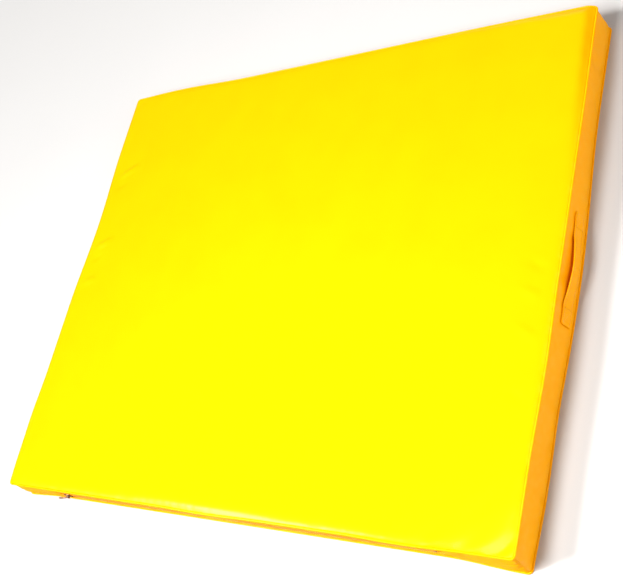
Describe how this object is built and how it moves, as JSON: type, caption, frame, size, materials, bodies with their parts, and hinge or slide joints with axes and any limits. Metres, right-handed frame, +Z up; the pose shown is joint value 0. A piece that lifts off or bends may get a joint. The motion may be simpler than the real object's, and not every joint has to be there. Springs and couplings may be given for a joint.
{
  "type": "foam sleeping pad",
  "caption": "Rectangular foam mat in a sewn coated-vinyl cover with piped edges, a carry handle on each side wall and a zip along the foot wall.",
  "frame": {"origin": "centre of the underside of the mat, lying flat", "axes": "+Z up through the thickness, +X across the mat to the right-hand handle, +Y to the head wall, opposite the zip"},
  "size_m": [1.2132, 1.0089, 0.072],
  "materials": {
    "cover_vinyl": "satin",
    "piping_vinyl": "satin",
    "strap_vinyl": "satin",
    "foam": "matte",
    "zip_tape": "matte",
    "zip_nylon": "satin",
    "zip_metal": "satin"
  },
  "bodies": {
    "mat": {"foam_core": "foam", "cover_top_panel": "cover_vinyl", "cover_bottom_panel": "cover_vinyl", "cover_wall_left": "cover_vinyl", "cover_wall_right": "cover_vinyl", "cover_wall_head": "cover_vinyl", "cover_wall_foot_lower": "cover_vinyl", "cover_wall_foot_upper": "cover_vinyl", "zip_end_patch_left": "cover_vinyl", "zip_end_patch_right": "cover_vinyl", "piping_top": "piping_vinyl", "piping_bottom": "piping_vinyl", "zip_tape_upper": "zip_tape", "zip_tape_lower": "zip_tape", "zip_inner_flap": "zip_tape", "zip_teeth_upper": "zip_nylon", "zip_teeth_lower": "zip_nylon", "zip_stop_left": "zip_metal", "zip_stop_right": "zip_metal", "handle_left_end_head": "strap_vinyl", "handle_left_end_foot": "strap_vinyl", "handle_left_backing": "zip_tape", "handle_right_end_head": "strap_vinyl", "handle_right_end_foot": "strap_vinyl", "handle_right_backing": "zip_tape"},
    "slider": {"zip_slider": "zip_metal"},
    "pull": {"zip_pull": "zip_metal"},
    "handle_left": {"handle_left_strap": "strap_vinyl"},
    "handle_right": {"handle_right_strap": "strap_vinyl"}
  },
  "joints": [
    {"name": "zip_travel", "type": "slide", "parent": "mat", "child": "slider", "axis": [1, 0, 0], "range_m": [0, 0.878]},
    {"name": "zip_pull_flip", "type": "hinge", "parent": "slider", "child": "pull", "pos_m": [-0.439, -0.5033, 0.036], "axis": [0, 0, 1], "range_deg": [-15, 165]},
    {"name": "handle_left_lift", "type": "slide", "parent": "mat", "child": "handle_left", "axis": [-1, 0, 0], "range_m": [0, 0.012], "stiffness_N_per_m": 40},
    {"name": "handle_right_lift", "type": "slide", "parent": "mat", "child": "handle_right", "axis": [1, 0, 0], "range_m": [0, 0.012], "stiffness_N_per_m": 40}
  ]
}
